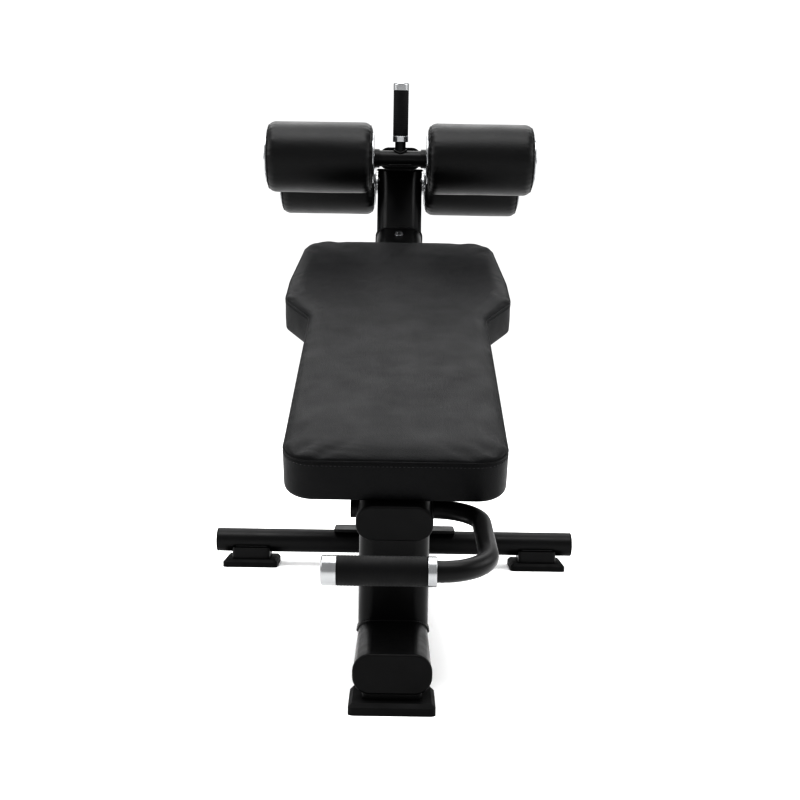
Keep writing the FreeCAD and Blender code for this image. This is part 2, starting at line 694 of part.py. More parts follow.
def roller(tag, start, sign, outward, axle_hole):
    """A padded roller: foam and cover on a core tube, between two end discs."""
    body_start = start + sideways(sign * size("disc_thick"))
    discs = []
    for place in (start, body_start + sideways(sign * size("roller_length"))):
        disc = round_piece(f"{tag}_disc", [("disc_radius", "disc_thick")], bore=axle_hole)
        discs.append(put(disc, place, outward))
    group(f"{tag}_discs", discs)
    core = round_piece(f"{tag}_core", [("core_radius", "roller_length")], bore=axle_hole)
    keep(f"{tag}_core", put(core, body_start, outward))
    foam = round_piece(f"{tag}_roller", [("roller_radius", "roller_length")], bore="core_radius + fit_gap")
    for height in ("0", "roller_length"):
        dress(foam, "Fillet", "roller_round", rim("roller_radius", height))
    keep(f"{tag}_roller", put(foam, body_start, outward))


def roller_arm():
    """The flat-oval arm on top of the rear post, coped to the tube round the knee axle."""
    stock = oval_tube("roller_arm_stock", "arm", "8 * tube_wide")
    put(stock, knee + along(arm_angle, size("arm_start")), pitched(arm_angle))
    back = knee + along(arm_angle, arm_run + size("arm_tail"))
    sleeve = drill(knee, ACROSS, "sleeve_radius + fit_gap", "2 * tube_wide")
    cut("roller_arm", stock, [half_space(back, arm_angle), sleeve])
    oval_cap("roller_arm_cap", "arm", back, pitched(arm_angle))


# ---- hand grips ----------------------------------------------------------------------------------

def bent_bar():
    """The bent handle bar, in its own plane: one leg through the seat tube, one in front of it."""
    body = new_body("handle_bar")
    side = size("bar_side")
    bend = size("bar_bend")
    reach = size("bar_reach")
    up = Vector(0, 0, 1)
    spine = new_sketch(body, "XY_Plane")
    spine.addGeometry(Part.LineSegment(Vector(-size("bar_stub"), 0, 0), Vector(side - bend, 0, 0)))
    side_bend = Part.Circle(Vector(side - bend, -bend, 0), up, bend)
    spine.addGeometry(Part.ArcOfCircle(side_bend, 0, math.pi / 2))
    spine.addGeometry(Part.LineSegment(Vector(side, -bend, 0), Vector(side, bend - reach, 0)))
    front_bend = Part.Circle(Vector(side - bend, bend - reach, 0), up, bend)
    spine.addGeometry(Part.ArcOfCircle(front_bend, -math.pi / 2, 0))
    end = size("grip_left + grip_cap / 2")
    spine.addGeometry(Part.LineSegment(Vector(side - bend, -reach, 0), Vector(-end, -reach, 0)))
    joins = [(0, 2, 1, 2), (1, 1, 2, 1), (2, 2, 3, 2), (3, 1, 4, 1)]
    for join in joins:
        spine.addConstraint(Sketcher.Constraint("Tangent", *join))
    spine.addConstraint(Sketcher.Constraint("PointOnObject", 0, 1, -1))
    for kind, number in (("Horizontal", 0), ("Vertical", 2), ("Horizontal", 4)):
        spine.addConstraint(Sketcher.Constraint(kind, number))
    spine.addConstraint(Sketcher.Constraint("Equal", 1, 3))
    dimension(spine, Sketcher.Constraint("Radius", 1, bend), "bar_bend")
    dimension(spine, Sketcher.Constraint("DistanceX", 0, 1, -1, 1, size("bar_stub")), "bar_stub")
    dimension(spine, Sketcher.Constraint("DistanceX", -1, 1, 2, 1, side), "bar_side")
    dimension(spine, Sketcher.Constraint("DistanceY", 4, 1, 0, 2, reach), "bar_reach")
    dimension(spine, Sketcher.Constraint("DistanceX", 4, 2, -1, 1, end), "grip_left + grip_cap / 2")

    section = new_sketch(body, "YZ_Plane")
    section.AttachmentOffset = Placement(Vector(0, 0, -size("bar_stub")), UPRIGHT)
    bind(section, AttachmentOffset__Base__z="-1 * bar_stub")
    add_circle(section, "bar_radius")
    add_circle(section, "bar_radius - bar_wall")
    pipe = body.newObject("PartDesign::AdditivePipe", "Pipe")
    pipe.Profile = section
    pipe.Spine = spine
    keep("handle_bar", put(body, handle, Rotation(Vector(1, 0, 0), size("bar_dip"))))


def front_grip():
    sleeve_hole = "bar_radius + fit_gap"
    plug_steps = [("bar_radius - bar_wall - fit_gap", "cap_plug / 2"), ("bar_radius", "plug_flange / 2")]
    plug = round_piece("handle_bar_plug", plug_steps)
    keep("handle_bar_plug", put(plug, handle - sideways(size("bar_stub - cap_plug / 2")), ACROSS_LEFT))

    left = grip - sideways(size("grip_left"))
    sleeve = round_piece("front_grip", [("grip_radius", "grip_left + grip_right")], bore=sleeve_hole)
    keep("front_grip", put(sleeve, left, ACROSS))
    collar = round_piece("front_grip_collar", [("grip_radius", "grip_collar")], bore=sleeve_hole)
    for height in ("0", "grip_collar"):
        dress(collar, "Fillet", "fit_gap * 10", rim("grip_radius", height))
    keep("front_grip_collar", put(collar, grip + sideways(size("grip_right")), ACROSS))
    cap_stock = round_piece("front_grip_cap_stock", [("grip_radius", "grip_cap")])
    dress(cap_stock, "Fillet", "grip_cap / 6", rim("grip_radius", "grip_cap"))
    put(cap_stock, left, ACROSS_LEFT)
    socket = drill(left, ACROSS, sleeve_hole, "grip_cap + 2 * fit_gap")
    cut("front_grip_cap", cap_stock, [socket])


def upright_grip():
    lean = 90 + size("stub_lean")
    direction = pitched(lean)
    rod_bore = "(stub_neck - 2 * fit_gap)"
    rod_length = "stub_ring + stub_length + stub_cap / 2"
    rod_steps = [("stub_neck", "stub_clear"), ("stub_neck - 3 * fit_gap", rod_length)]
    rod = round_piece("upright_handle_stock", rod_steps)
    put(rod, knee, direction)
    cut("upright_handle", rod, [drill(knee, ACROSS, "sleeve_radius + fit_gap", "tube_wide")])

    ring_base = knee + along(lean, size("stub_clear"))
    ring = round_piece("upright_grip_ring", [("stub_grip + 5 * fit_gap", "stub_ring")], bore=rod_bore)
    for height in ("0", "stub_ring"):
        dress(ring, "Fillet", "fit_gap * 10", rim("stub_grip + 5 * fit_gap", height))
    keep("upright_grip_ring", put(ring, ring_base, direction))
    sleeve_base = ring_base + along(lean, size("stub_ring"))
    sleeve = round_piece("upright_grip", [("stub_grip", "stub_length")], bore=rod_bore)
    keep("upright_grip", put(sleeve, sleeve_base, direction))
    cap_base = sleeve_base + along(lean, size("stub_length"))
    cap_stock = round_piece("upright_grip_cap_stock", [("stub_grip + 5 * fit_gap", "stub_cap")])
    dress(cap_stock, "Fillet", "stub_cap / 3", rim("stub_grip + 5 * fit_gap", "stub_cap"))
    put(cap_stock, cap_base, direction)
    cut("upright_grip_cap", cap_stock, [drill(cap_base, direction, rod_bore, "stub_cap + 4 * fit_gap")])


# ---- assembly ------------------------------------------------------------------------------------

base_tube()
cross_tube()
feet()
posts()
seat_tube()
end_bolt()
bench_pad()
pad_bars()
pad_bolts()
for axle_name, axle_sizes in AXLES.items():
    axle_set(axle_name, *axle_sizes)
roller_arm()
bent_bar()
front_grip()
upright_grip()
doc.recompute()

failed = [thing.Label for thing in doc.Objects if {"Invalid", "Error"} & set(thing.State)]
failed += [label for label, part in parts.items() if part.Shape.isNull() or not part.Shape.isValid()]
if failed:
    raise SystemExit(f"not written, these objects failed: {failed}")

os.makedirs("parts", exist_ok=True)
for label, part in parts.items():
    part.Shape.exportStep(f"parts/{label}.step")
    box = part.Shape.BoundBox
    print(f"{label:24} solids {len(part.Shape.Solids)}  volume {part.Shape.Volume / 1000:9.1f} cm3  "
          f"x {box.XMin:7.1f} {box.XMax:7.1f}  y {box.YMin:7.1f} {box.YMax:7.1f}  "
          f"z {box.ZMin:6.1f} {box.ZMax:6.1f}")
print("nodes", len(parts), "origin from the cross tube", round(middle, 2))
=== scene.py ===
"""Looks of the roman chair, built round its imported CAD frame.

Metres.  +Z is up, +Y runs from the head end to the foot end with the rollers, +X is across.
"""
import json
import math

import bpy
import numpy as np
from mathutils import Matrix, Vector
from mathutils.bvhtree import BVHTree
from mathutils.noise import noise as perlin


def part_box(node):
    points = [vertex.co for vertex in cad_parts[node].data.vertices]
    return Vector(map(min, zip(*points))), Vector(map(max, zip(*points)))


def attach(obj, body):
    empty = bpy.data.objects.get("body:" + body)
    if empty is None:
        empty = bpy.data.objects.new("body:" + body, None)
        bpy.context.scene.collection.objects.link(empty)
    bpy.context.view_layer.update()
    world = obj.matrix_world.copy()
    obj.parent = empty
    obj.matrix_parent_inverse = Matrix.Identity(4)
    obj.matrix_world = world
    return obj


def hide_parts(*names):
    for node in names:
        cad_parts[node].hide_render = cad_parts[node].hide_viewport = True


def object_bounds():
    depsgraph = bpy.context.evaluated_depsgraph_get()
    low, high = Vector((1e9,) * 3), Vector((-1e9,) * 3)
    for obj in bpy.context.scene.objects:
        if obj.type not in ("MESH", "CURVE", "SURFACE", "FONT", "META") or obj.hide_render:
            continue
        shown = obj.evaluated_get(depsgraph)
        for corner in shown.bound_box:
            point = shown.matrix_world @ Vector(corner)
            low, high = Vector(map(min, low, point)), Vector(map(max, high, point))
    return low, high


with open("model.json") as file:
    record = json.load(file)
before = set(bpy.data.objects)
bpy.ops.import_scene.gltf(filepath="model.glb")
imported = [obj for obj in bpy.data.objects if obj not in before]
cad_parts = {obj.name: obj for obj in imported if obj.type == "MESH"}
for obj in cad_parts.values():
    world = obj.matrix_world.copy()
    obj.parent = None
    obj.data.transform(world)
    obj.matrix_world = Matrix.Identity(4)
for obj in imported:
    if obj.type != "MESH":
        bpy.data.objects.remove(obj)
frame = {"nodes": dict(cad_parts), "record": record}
cad_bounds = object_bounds()
MM = 0.001

# ---- places taken from the frame ------------------------------------------------------------------

SEAT_SLOPE = math.radians(22)
ARM_SLOPE = math.radians(7.5)
POST_LEAN = math.radians(20.1)
FRONT_LEAN = math.radians(8.6)
STUB_LEAN = math.radians(12)

# Flat-oval tubes of the frame and of the roller arm: (across, the other way, corner radius).
FRAME_TUBE = (0.100, 0.050, 0.022)
ARM_TUBE = (0.080, 0.040, 0.017)


def centre(node):
    low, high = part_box(node)
    return (low + high) / 2


def rise(angle):
    """The direction in the bench's middle plane at this angle above +Y."""
    return Vector((0, math.cos(angle), math.sin(angle)))


ACROSS = Vector((1, 0, 0))
KNEE = centre("knee_sleeve")
CROSS = centre("cross_tube")
FLOOR = cad_bounds[0][2]
SEAT_FRONT = Vector((0, CROSS.y - 0.935, FLOOR + 0.234))
ROLLERS = ["knee_left", "knee_right", "ankle_left", "ankle_right"]


# ---- meshes ---------------------------------------------------------------------------------------

def add_mesh(name, points, faces, material, smooth=True):
    """A new mesh object from points and faces."""
    mesh = bpy.data.meshes.new(name)
    mesh.from_pydata([tuple(point) for point in points], [], faces)
    mesh.polygons.foreach_set("use_smooth", [smooth] * len(faces))
    mesh.materials.append(material)
    mesh.update()
    thing = bpy.data.objects.new(name, mesh)
    bpy.context.scene.collection.objects.link(thing)
    return thing


def bridge(rings, wrap=False):
    """Quads between successive closed rings of equal length: returns points and faces."""
    count = len(rings[0])
    points = [point for ring in rings for point in ring]
    faces = []
    for row in range(len(rings) if wrap else len(rings) - 1):
        low = row * count
        high = (row + 1) % len(rings) * count
        for column in range(count):
            after = (column + 1) % count
            faces.append((low + column, low + after, high + after, high + column))
    return points, faces


def ring_round(middle, first, second, radii):
    """Points once round a middle in the plane of two directions, one for each of the radii."""
    ring = []
    for index, radius in enumerate(radii):
        turn = 2 * math.pi * index / len(radii)
        ring.append(middle + (first * math.cos(turn) + second * math.sin(turn)) * radius)
    return ring


def even(radius):
    """One radius all along a sweep."""
    return lambda run: radius


def sweep(path, radius, closed, sides=8):
    """A round tube along a path of points: radius is a function of the distance run."""
    path = [Vector(point) for point in path]
    count = len(path)
    rings = []
    run = 0
    normal = None
    for index, point in enumerate(path):
        before = path[index - 1] if closed or index else point
        after = path[(index + 1) % count] if closed or index + 1 < count else point
        tangent = (after - before).normalized()
        if normal is None:
            seed = Vector((0.31, 0.47, 0.83))
            normal = (seed - tangent * seed.dot(tangent)).normalized()
        else:
            normal = (normal - tangent * normal.dot(tangent)).normalized()
            run += (point - path[index - 1]).length
        rings.append(ring_round(point, normal, tangent.cross(normal), [radius(run)] * sides))
    points, faces = bridge(rings)
    if closed:
        twist = min(range(sides), key=lambda s: (rings[-1][0] - rings[0][s]).length)
        base = (count - 1) * sides
        for side in range(sides):
            after = (side + 1) % sides
            faces.append((base + side, base + after, (after + twist) % sides, (side + twist) % sides))
    else:
        faces.append(tuple(reversed(range(sides))))
        faces.append(tuple(range((count - 1) * sides, count * sides)))
    return points, faces


def join_shapes(shapes):
    """Puts several (points, faces) together as one."""
    points = []
    faces = []
    for more_points, more_faces in shapes:
        start = len(points)
        points += list(more_points)
        faces += [tuple(start + corner for corner in face) for face in more_faces]
    return points, faces


def turned(profile, origin, axis, sides=64):
    """The rings of a turned shape: profile is a list of (radius, height) along its axis."""
    axis = axis.normalized()
    first = axis.orthogonal().normalized()
    second = axis.cross(first)
    return [ring_round(origin + axis * height, first, second, [radius] * sides)
            for radius, height in profile]


def arc(cx, cy, radius, start, end, steps):
    """Points of an arc, angles in degrees."""
    points = []
    for step in range(steps + 1):
        turn = math.radians(start + (end - start) * step / steps)
        points.append((cx + radius * math.cos(turn), cy + radius * math.sin(turn)))
    return points


def rounded_outline(corners, step):
    """A closed outline through (x, y, radius) corners, rounded, with points about one step apart."""
    outline = []
    for index, corner in enumerate(corners):
        here = Vector(corner[:2])
        to_before = (Vector(corners[index - 1][:2]) - here).normalized()
        to_after = (Vector(corners[(index + 1) % len(corners)][:2]) - here).normalized()
        half = math.acos(max(-1, min(1, to_before.dot(to_after)))) / 2
        radius = corner[2]
        back = radius / math.tan(half)
        middle = here + (to_before + to_after).normalized() * (radius / math.sin(half))
        start = here + to_before * back - middle
        end = here + to_after * back - middle
        bend = start.angle_signed(end)
        steps = max(2, int(abs(bend) * radius / step))
        for number in range(steps + 1):
            outline.append(middle + Matrix.Rotation(-bend * number / steps, 2) @ start)
    spaced = []
    for index, here in enumerate(outline):
        after = outline[(index + 1) % len(outline)]
        cuts = max(1, round((after - here).length / step))
        spaced += [here.lerp(after, cut / cuts) for cut in range(cuts)]
    return spaced


# ---- finishes -------------------------------------------------------------------------------------

class Finish:
    """A node material, with short calls for the nodes that the finishes share."""

    def __init__(self, name, colour, roughness, metallic=0.0):
        self.material = bpy.data.materials.new(name)
        self.material.use_nodes = True
        self.nodes = self.material.node_tree.nodes
        self.links = self.material.node_tree.links
        self.shader = self.nodes["Principled BSDF"]
        self.shader.inputs["Base Color"].default_value = (*colour, 1)
        self.shader.inputs["Roughness"].default_value = roughness
        self.shader.inputs["Metallic"].default_value = metallic
        self.place = self.nodes.new("ShaderNodeTexCoord").outputs["Object"]

    def stretched(self, scale):
        """The object coordinates with each axis scaled."""
        mapping = self.nodes.new("ShaderNodeMapping")
        mapping.inputs["Scale"].default_value = scale
        self.links.new(self.place, mapping.inputs["Vector"])
        return mapping.outputs["Vector"]

    def noise(self, scale, detail=3.0, stretch=(1, 1, 1)):
        """Cloudy noise about 0.5, with scale in waves per metre."""
        node = self.nodes.new("ShaderNodeTexNoise")
        node.inputs["Scale"].default_value = scale
        node.inputs["Detail"].default_value = detail
        self.links.new(self.stretched(stretch), node.inputs["Vector"])
        return node.outputs["Fac"]

    def cells(self, scale, wobble):
        """Voronoi cells with uneven borders, as in leather grain: 0 at a border."""
        node = self.nodes.new("ShaderNodeTexVoronoi")
        node.feature = "DISTANCE_TO_EDGE"
        node.inputs["Scale"].default_value = scale
        drift = self.nodes.new("ShaderNodeTexNoise")
        drift.inputs["Scale"].default_value = scale * 0.6
        self.links.new(self.place, drift.inputs["Vector"])
        shift = self.nodes.new("ShaderNodeVectorMath")
        shift.operation = "MULTIPLY_ADD"
        shift.inputs[1].default_value = (wobble, wobble, wobble)
        self.links.new(drift.outputs["Color"], shift.inputs[0])
        self.links.new(self.place, shift.inputs[2])
        self.links.new(shift.outputs["Vector"], node.inputs["Vector"])
        return node.outputs["Distance"]

    def spread(self, value, low, high, start=0.3, end=0.7):
        """Maps a value's span from start to end onto low to high."""
        node = self.nodes.new("ShaderNodeMapRange")
        node.inputs["From Min"].default_value = start
        node.inputs["From Max"].default_value = end
        node.inputs["To Min"].default_value = low
        node.inputs["To Max"].default_value = high
        self.links.new(value, node.inputs["Value"])
        return node.outputs["Result"]

    def roughness(self, value, low, high):
        self.links.new(self.spread(value, low, high), self.shader.inputs["Roughness"])

    def colours(self, value, dark, light, start=0.3, end=0.7):
        mix = self.nodes.new("ShaderNodeMix")
        mix.data_type = "RGBA"
        mix.inputs["A"].default_value = (*dark, 1)
        mix.inputs["B"].default_value = (*light, 1)
        self.links.new(self.spread(value, 0, 1, start, end), mix.inputs["Factor"])
        self.links.new(mix.outputs["Result"], self.shader.inputs["Base Color"])

    def bump(self, value, distance, strength=1.0):
        """Adds one more layer of relief to those already there."""
        node = self.nodes.new("ShaderNodeBump")
        node.inputs["Distance"].default_value = distance
        node.inputs["Strength"].default_value = strength
        self.links.new(value, node.inputs["Height"])
        if self.shader.inputs["Normal"].is_linked:
            self.links.new(self.shader.inputs["Normal"].links[0].from_socket, node.inputs["Normal"])
        self.links.new(node.outputs["Normal"], self.shader.inputs["Normal"])

    def set(self, **values):
        """Sets inputs of the shader: an underscore stands for a space in an input's name."""
        for name, value in values.items():
            self.shader.inputs[name.replace("_", " ")].default_value = value


def powder_coat():
    """Satin black powder coat with a fine orange-peel skin."""
    finish = Finish("frame_paint", (0.006, 0.006, 0.0063), 0.36)
    finish.colours(finish.noise(7, 5), (0.0045, 0.0045, 0.0047), (0.008, 0.008, 0.0085))
    finish.set(Specular_IOR_Level=0.27)
    finish.roughness(finish.noise(28, 6), 0.3, 0.43)
    finish.bump(finish.noise(650, 2), 0.12 * MM, 0.5)
    finish.bump(finish.noise(2600, 1), 0.04 * MM, 0.35)
    return finish.material


def vinyl(name, dark, light, low, high, grain, depth, gloss):
    """Upholstery vinyl: its two tones, roughness from low to high, grain cells per metre and their depth."""
    finish = Finish(name, light, low)
    finish.colours(finish.noise(5, 6), dark, light)
    finish.roughness(finish.noise(22, 5), low, high)
    finish.bump(finish.noise(60, 4), 0.25 * MM, 0.35)
    finish.bump(finish.spread(finish.cells(grain, 0.6 / grain), 0, 1, 0.0, 0.25), depth * MM, 0.55)
    finish.bump(finish.noise(grain * 4, 2), 0.05 * MM, 0.4)
    finish.set(Specular_IOR_Level=gloss)
    return finish.material


def moulded(name, colour, low, high):
    """Moulded black plastic or rubber with a fine spark-eroded skin."""
    finish = Finish(name, colour, low)
    finish.colours(finish.noise(9, 5), tuple(0.75 * part for part in colour), colour)
    finish.roughness(finish.noise(40, 5), low, high)
    finish.bump(finish.noise(1500, 3), 0.08 * MM, 0.6)
    finish.set(Specular_IOR_Level=0.22)
    return finish.material


def turned_metal(name, colour, low, high):
    """Machined metal: fine lathe lines across the bench's X axis and a few darker patches."""
    finish = Finish(name, colour, low, metallic=1.0)
    finish.colours(finish.noise(30, 5), tuple(0.82 * part for part in colour), colour)
    finish.roughness(finish.noise(18, 6, (40, 1, 1)), low, high)
    finish.bump(finish.noise(60, 3, (40, 1, 1)), 0.01 * MM, 0.3)
    return finish.material


def plywood():
    """Black-stained plywood: long fine grain."""
    finish = Finish("board_wood", (0.03, 0.026, 0.022), 0.7)
    finish.colours(finish.noise(60, 6, (1, 0.06, 0.06)), (0.016, 0.014, 0.012), (0.045, 0.037, 0.03))
    finish.bump(finish.noise(160, 4, (1, 0.05, 0.05)), 0.2 * MM, 0.6)
    return finish.material


def thread():
    """Twisted polyester thread."""
    finish = Finish("thread", (0.03, 0.03, 0.032), 0.55)
    finish.bump(finish.noise(2200, 2), 0.08 * MM, 0.8)
    return finish.material


FINISHES = {
    "frame_paint": powder_coat(),
    "cap_plastic": moulded("cap_plastic", (0.007, 0.007, 0.0073), 0.38, 0.5),
    "foot_rubber": moulded("foot_rubber", (0.008, 0.008, 0.0083), 0.55, 0.7),
    "grip_rubber": moulded("grip_rubber", (0.009, 0.009, 0.0094), 0.5, 0.62),
    "core_plastic": moulded("core_plastic", (0.05, 0.05, 0.052), 0.45, 0.6),
    "pad_vinyl": vinyl(
        "pad_vinyl", dark=(0.0062, 0.0063, 0.0068), light=(0.0088, 0.009, 0.0096),
        low=0.42, high=0.52, grain=420, depth=0.22, gloss=0.2),
    "roller_vinyl": vinyl(
        "roller_vinyl", dark=(0.0030, 0.0031, 0.0033), light=(0.0048, 0.0049, 0.0052),
        low=0.34, high=0.42, grain=460, depth=0.18, gloss=0.32),
    "board_wood": plywood(),
    "bright_aluminium": turned_metal("bright_aluminium", (0.37, 0.374, 0.38), 0.16, 0.28),
    "bolt_steel": turned_metal("bolt_steel", (0.42, 0.425, 0.435), 0.24, 0.4),
}
THREAD = thread()


def finish_frame():
    """Gives every CAD node the finish of its material slot."""
    slots = {part["node"]: part["material_slot"] for part in frame["record"]["subparts"]}
    for name, node in frame["nodes"].items():
        node.data.materials.clear()
        node.data.materials.append(FINISHES[slots[name]])


def settle(piece, body, slot, *nodes):
    """Ties a piece to its body and hides the CAD nodes that it stands for; its slot is not used."""
    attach(piece, body)
    if nodes:
        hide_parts(*nodes)
    return piece


# ---- soft pieces ----------------------------------------------------------------------------------

SWELL_FRAMES = 20
MOST_SWELL = 0.004
PAD_PRESSURE = 3.5
ROLLER_PRESSURE = 5.0


def inflate(thing, pressure, hold):
    """Swells a closed mesh with cloth pressure, by MOST_SWELL at most.

    hold(point) is 1 where the cover is sewn down.
    """
    rest = np.array([vertex.co for vertex in thing.data.vertices])
    group = thing.vertex_groups.new(name="sewn")
    for index, point in enumerate(rest):
        weight = hold(Vector(point))
        if weight > 0:
            group.add([index], weight, "REPLACE")
    cloth = thing.modifiers.new("Cloth", "CLOTH")
    settings = cloth.settings
    settings.vertex_group_mass = "sewn"
    settings.quality = 5
    settings.mass = 0.3
    settings.tension_stiffness = 25
    settings.compression_stiffness = 25
    settings.shear_stiffness = 10
    settings.bending_stiffness = 1.5
    settings.use_pressure = True
    settings.uniform_pressure_force = pressure
    settings.effector_weights.gravity = 0
    cloth.point_cache.frame_start = 1
    cloth.point_cache.frame_end = SWELL_FRAMES
    scene = bpy.context.scene
    for number in range(1, SWELL_FRAMES + 1):
        scene.frame_set(number)
    graph = bpy.context.evaluated_depsgraph_get()
    swollen = thing.evaluated_get(graph).to_mesh()
    moved = np.array([vertex.co for vertex in swollen.vertices]) - rest
    thing.evaluated_get(graph).to_mesh_clear()
    thing.modifiers.remove(cloth)
    thing.vertex_groups.remove(group)
    scene.frame_set(1)
    length = np.linalg.norm(moved, axis=1, keepdims=True)
    share = MOST_SWELL * np.tanh(length / MOST_SWELL) / np.maximum(length, 1e-9)
    thing.data.vertices.foreach_set("co", (rest + moved * share).astype(np.float32).ravel())
    thing.data.update()


def bake(thing):
    """Applies a mesh object's modifiers."""
    graph = bpy.context.evaluated_depsgraph_get()
    mesh = bpy.data.meshes.new_from_object(thing.evaluated_get(graph))
    materials = list(thing.data.materials)
    thing.modifiers.clear()
    thing.data = mesh
    thing.data.materials.clear()
    for material in materials:
        thing.data.materials.append(material)
    thing.data.polygons.foreach_set("use_smooth", [True] * len(mesh.polygons))


def subdivide(thing):
    """Smooths a mesh object by one level of subdivision."""
    modifier = thing.modifiers.new("Subdivision", "SUBSURF")
    modifier.levels = 1
    modifier.render_levels = 1
    bake(thing)


def bell(distance, spread):
    """1 at no distance, falling off smoothly over the spread."""
    return math.exp(-(distance / spread) ** 2)


def surface_of(thing):
    """A tree for casting rays at a mesh object that stands untransformed."""
    return BVHTree.FromPolygons([vertex.co for vertex in thing.data.vertices],
                                [tuple(face.vertices) for face in thing.data.polygons])


# The pad's own axes: u across, v from its head end, w up from its underside.
PAD_LENGTH = 0.933
PAD_THICK = 0.065
PAD_V = rise(SEAT_SLOPE)
PAD_W = rise(SEAT_SLOPE + math.pi / 2)
pad_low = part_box("bench_pad")[0]
PAD_ORIGIN = Vector((0, pad_low.y + PAD_THICK * math.sin(SEAT_SLOPE), pad_low.z))
# Half outline of the pad: (half width, distance from its head end, corner radius).
PAD_OUTLINE = [
    (0.150, 0.000, 0.042),
    (0.150, 0.515, 0.040),
    (0.198, 0.600, 0.034),
    (0.198, 0.700, 0.100),
    (0.182, 0.933, 0.052),
]


def pad_place(u, v, w):
    """The place of a point given in the pad's own axes."""
    return PAD_ORIGIN + ACROSS * u + PAD_V * v + PAD_W * w


def pad_local(point):
    """A place in the pad's own axes."""
    offset = point - PAD_ORIGIN
    return Vector((offset.x, offset.dot(PAD_V), offset.dot(PAD_W)))


def along_line(points, lengths, distance):
    """The point at a distance along a polyline."""
    index = min(max(int(np.searchsorted(lengths, distance)), 1), len(points) - 1)
    share = (distance - lengths[index - 1]) / (lengths[index] - lengths[index - 1])
    return points[index - 1].lerp(points[index], share)


# Quads of the pad's cover across an end and along a side, and steps of each rounded corner.
PAD_ACROSS = 56
PAD_ALONG = 134
CORNER_STEPS = 24


def pad_loop():
    """The pad's plan as (u, v) points: PAD_ACROSS along each end and PAD_ALONG along each side."""
    right = [Vector((0, 0))]
    corners = [(0, 0, 0)] + PAD_OUTLINE + [(0, PAD_LENGTH, 0)]
    for before, here, after in zip(corners, corners[1:], corners[2:]):
        middle = Vector(here[:2])
        to_before = (Vector(before[:2]) - middle).normalized()
        to_after = (Vector(after[:2]) - middle).normalized()
        half = to_before.angle(to_after) / 2
        reach = here[2] / math.tan(half)
        start = middle + to_before * reach
        end = middle + to_after * reach
        heart = middle + (to_before + to_after).normalized() * (reach / math.cos(half))
        for step in range(CORNER_STEPS + 1):
            ray = (start - heart).lerp(end - heart, step / CORNER_STEPS).normalized()
            right.append(heart + ray * here[2])
    right.append(Vector((0, PAD_LENGTH)))
    lengths = [0.0]
    for before, here in zip(right, right[1:]):
        lengths.append(lengths[-1] + (here - before).length)
    near_corner = lengths[1 + CORNER_STEPS // 2]
    far_corner = lengths[-2 - CORNER_STEPS // 2]
    stops = list(np.linspace(0, near_corner, PAD_ACROSS // 2 + 1))
    stops += list(np.linspace(near_corner, far_corner, PAD_ALONG + 1))[1:]
    stops += list(np.linspace(far_corner, lengths[-1], PAD_ACROSS // 2 + 1))[1:]
    right_half = [along_line(right, lengths, stop) for stop in stops]
    loop = right_half + [Vector((-point.x, point.y)) for point in reversed(right_half[1:-1])]
    return loop[-(PAD_ACROSS // 2):] + loop[:-(PAD_ACROSS // 2)]


def drawn_in(loop, inset):
    """The loop moved inward by a distance."""
    moved = []
    for index, point in enumerate(loop):
        tangent = (loop[(index + 1) % len(loop)] - loop[index - 1]).normalized()
        moved.append(point + Vector((-tangent.y, tangent.x)) * inset)
    return moved


def panel(loop, start, first_new):
    """Fills a loop of points with a grid of quads. start is the loop's first index in the mesh."""
    across, along = PAD_ACROSS, PAD_ALONG
    count = len(loop)
    near = loop[:across + 1]
    right = loop[across:across + along + 1]
    far = loop[across + along:2 * across + along + 1][::-1]
    left = (loop[2 * across + along:] + loop[:1])[::-1]
    index = {}
    for column in range(across + 1):
        index[column, 0] = start + column
        index[column, along] = start + 2 * across + along - column
    for row in range(along + 1):
        index[across, row] = start + across + row
        index[0, row] = start + (count - row) % count
    points = []
    for row in range(1, along):
        t = row / along
        for column in range(1, across):
            s = column / across
            sides = left[row] * (1 - s) + right[row] * s
            ends = near[column] * (1 - t) + far[column] * t
            near_end = near[0] * (1 - s) + near[-1] * s
            far_end = far[0] * (1 - s) + far[-1] * s
            index[column, row] = first_new + len(points)
            points.append(sides + ends - (near_end * (1 - t) + far_end * t))
    faces = []
    for row in range(along):
        for column in range(across):
            corners = ((column, row), (column + 1, row), (column + 1, row + 1), (column, row + 1))
            faces.append(tuple(index[corner] for corner in corners))
    return points, faces


# The side of the pad's cover: its seam, the rounding of its two edges, and how far it starts inside the
# CAD pad, which leaves it room to swell.
SEAM_HEIGHT = PAD_THICK - 0.010
EDGE_ROUND = 0.011
BASE_ROUND = 0.006
SWELL = 0.001


def pad_profile():
    """(inset, height) of the pad's side, from the underside to the top panel."""
    under = arc(SWELL + BASE_ROUND, BASE_ROUND, BASE_ROUND, 270, 180, 5)
    side = [(SWELL, height) for height in np.linspace(BASE_ROUND, PAD_THICK - SWELL - EDGE_ROUND, 7)[1:-1]]
    over = arc(SWELL + EDGE_ROUND, PAD_THICK - SWELL - EDGE_ROUND, EDGE_ROUND, 180, 90, 5)
    return under + side + over


